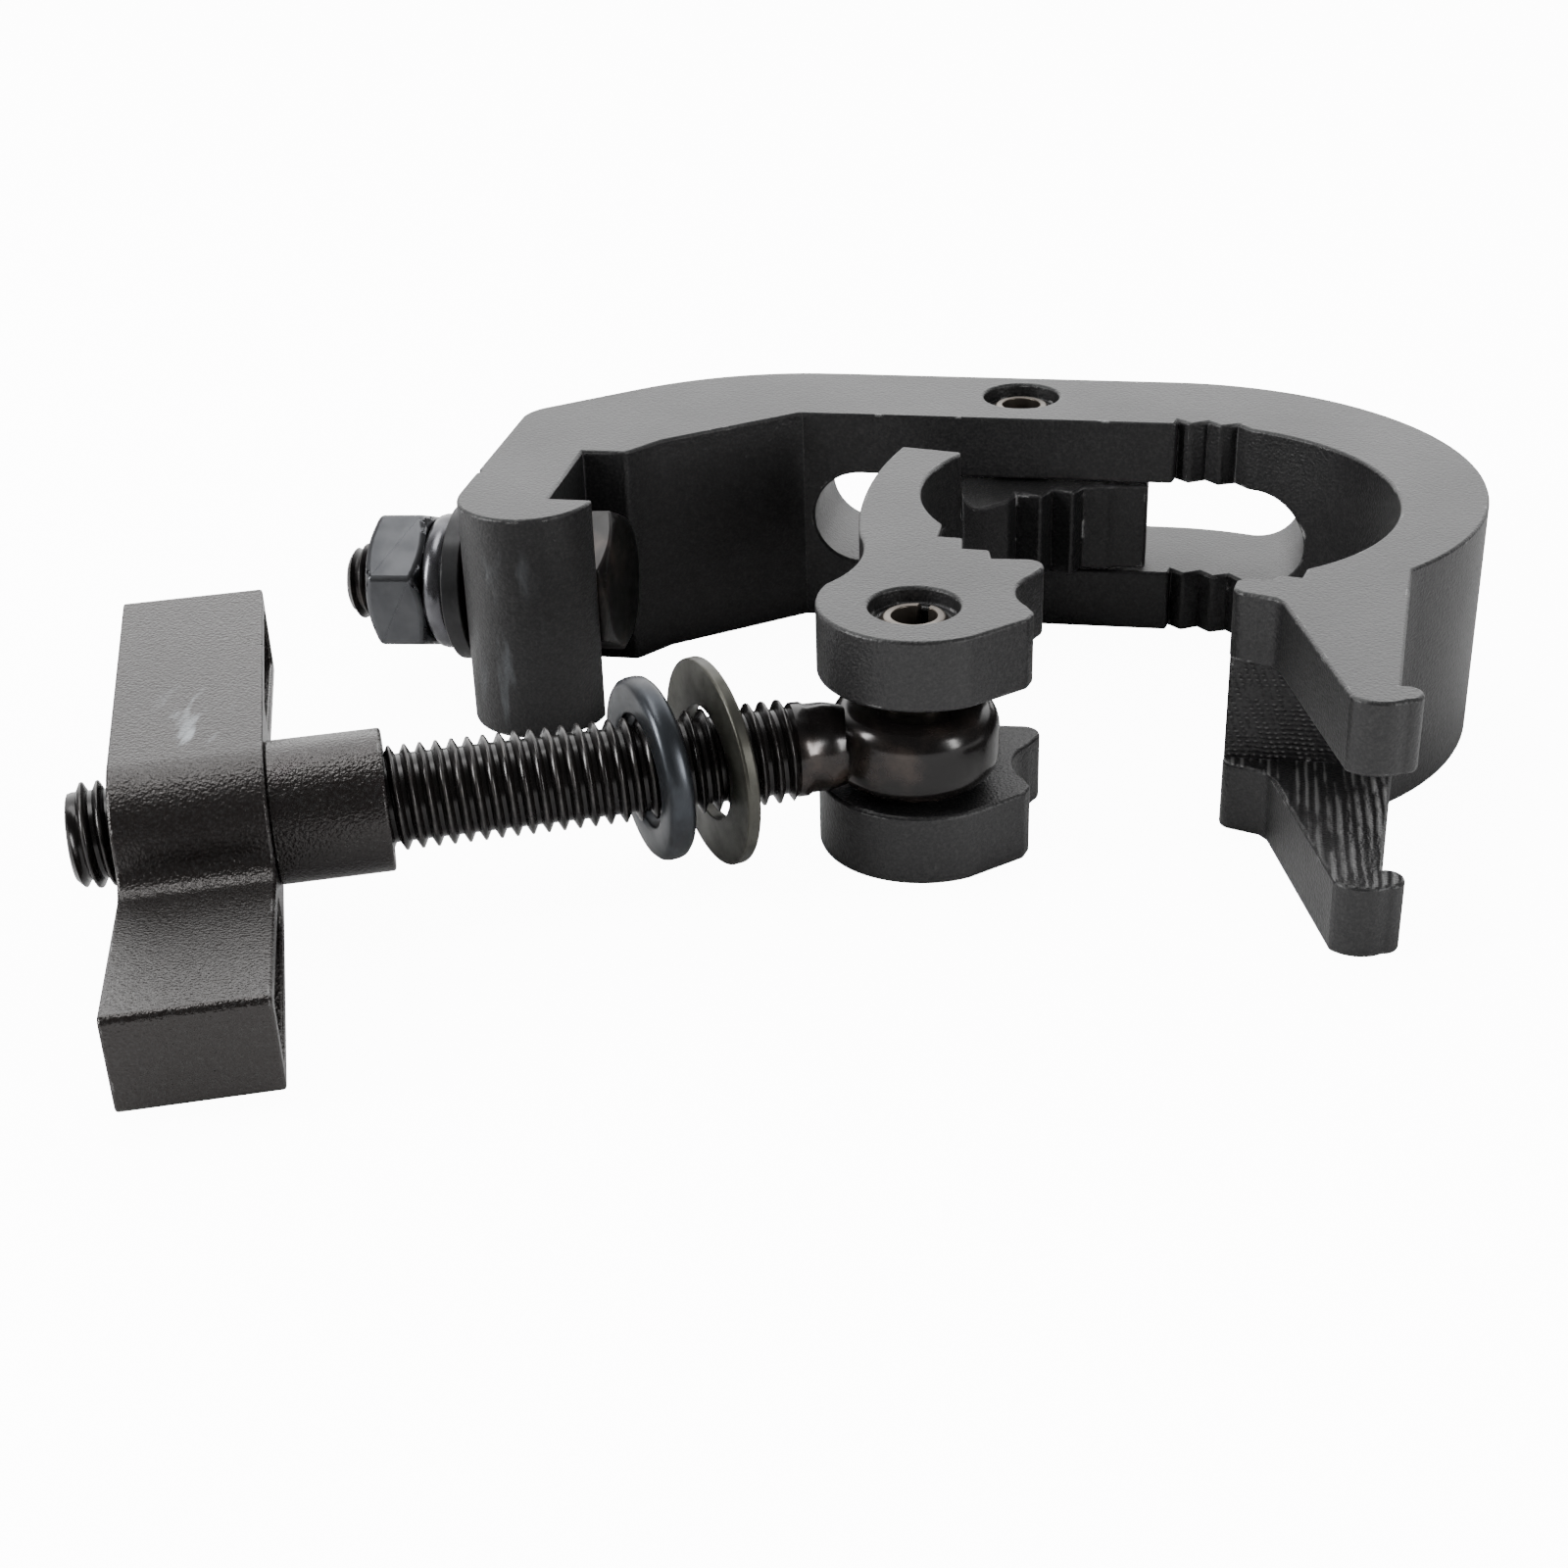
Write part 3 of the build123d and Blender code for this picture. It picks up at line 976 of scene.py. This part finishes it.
@dataclass
class Studio:
    """Pale floor, soft lights and the camera."""

    floor_z: float = -0.015
    paper: float = 6.0

    def lay(self, name: str, below: float, glow: float) -> bpy.types.Object:
        """Lays a sheet of white paper.

        Args:
            name: its name.
            below: how far it lies under the clamp, in metres.
            glow: how much light it gives of its own.

        Returns:
            The sheet.
        """
        mesh = bpy.data.meshes.new(name)
        side = self.paper
        corners = [(-side, -side), (side, -side), (side, side), (-side, side)]
        mesh.from_pydata([(x, y, self.floor_z - below) for x, y in corners], [], [(0, 1, 2, 3)])
        sheet = add_object(name, mesh)
        g = Graph(name)
        g.colour((0.8, 0.8, 0.8, 1))
        g.rough(0.9)
        g.shader.inputs["Specular IOR Level"].default_value = 0.0
        g.shader.inputs["Emission Color"].default_value = (1, 1, 1, 1)
        g.shader.inputs["Emission Strength"].default_value = glow
        sheet.data.materials.append(g.material)
        return sheet

    def build_floor(self) -> None:
        """Lays the paper under the clamp, and one below it that throws light back up."""
        seen = self.lay("floor", 0.0, 12.0)
        seen.visible_glossy = False
        seen.visible_diffuse = False
        seen.visible_shadow = False
        bounce = self.lay("bounce", 0.0002, 0.0)
        bounce.visible_camera = False

    def add_light(self, name: str, place: Sequence[float], size: Sequence[float], power: float) -> None:
        """Hangs a soft box that faces the clamp.

        Args:
            name: its name.
            place: where it hangs, in metres.
            size: its width and height.
            power: its power in watts.
        """
        data = bpy.data.lights.new(name, "AREA")
        data.shape = "RECTANGLE"
        data.size, data.size_y = size
        data.energy = power
        lamp = bpy.data.objects.new(name, data)
        lamp.location = place
        aim = Vector((-0.03, -0.02, 0.0)) - Vector(place)
        lamp.rotation_euler = aim.to_track_quat("-Z", "Y").to_euler()
        bpy.context.scene.collection.objects.link(lamp)

    def build_lights(self) -> None:
        """Sets the world and the soft boxes."""
        world = bpy.data.worlds.new("studio")
        bpy.context.scene.world = world
        world.use_nodes = True
        tree = world.node_tree
        background = tree.nodes["Background"]
        ray = tree.nodes.new("ShaderNodeTexCoord").outputs["Generated"]
        lean = tree.nodes.new("ShaderNodeVectorMath")
        lean.operation = "DOT_PRODUCT"
        tree.links.new(ray, lean.inputs[0])
        lean.inputs[1].default_value = Vector((-0.1, 0.93, 0.36)).normalized()
        ramp = tree.nodes.new("ShaderNodeMapRange")
        ramp.interpolation_type = "SMOOTHSTEP"
        tree.links.new(lean.outputs["Value"], ramp.inputs["Value"])
        for name, value in (("From Min", 0.42), ("From Max", 0.93), ("To Min", 0.13), ("To Max", 3.2)):
            ramp.inputs[name].default_value = value
        tree.links.new(ramp.outputs["Result"], background.inputs["Strength"])
        background.inputs["Color"].default_value = (1, 1, 1, 1)
        self.add_light("top box", (-0.3, 0.05, 1.0), (0.6, 0.35), 5.0)
        self.add_light("left box", (-0.8, -0.35, 0.35), (0.16, 0.5), 9.0)
        self.add_light("right box", (0.75, -0.45, 0.3), (0.12, 0.45), 5.0)

    def build_camera(self) -> None:
        """Places the camera above the mouth, looking across the clamp."""
        right = Vector((0.980, 0.201, 0.0))
        down = Vector((0.092, -0.446, -0.890))
        roll = math.radians(2.11)
        across = (right * math.cos(roll) + down * math.sin(roll)).normalized()
        up = (right * math.sin(roll) - down * math.cos(roll)).normalized()
        back = across.cross(up).normalized()
        up = back.cross(across)
        data = bpy.data.cameras.new("camera")
        data.sensor_width = 36.0
        data.lens = 54.05
        data.shift_x = 0.019
        data.shift_y = -0.013
        data.clip_start = 0.01
        camera = bpy.data.objects.new("camera", data)
        turn = Matrix((across, up, back)).transposed().to_4x4()
        camera.matrix_world = Matrix.Translation((0.0027, -0.2766, 0.1190)) @ turn
        bpy.context.scene.collection.objects.link(camera)
        bpy.context.scene.camera = camera


def main() -> None:
    """Builds every sub-assembly in order."""
    logging.basicConfig(level=logging.INFO, format="%(message)s")
    studio = Studio()
    studio.build_floor()
    studio.build_lights()
    studio.build_camera()
    for assembly in (Extrusions(), SwingBolt(), WingNut(), RollPins(), MountingSet()):
        assembly.build()
        assembly.dress()
        log.info("finished %s", type(assembly).__name__)


if __name__ == "__main__":
    main()
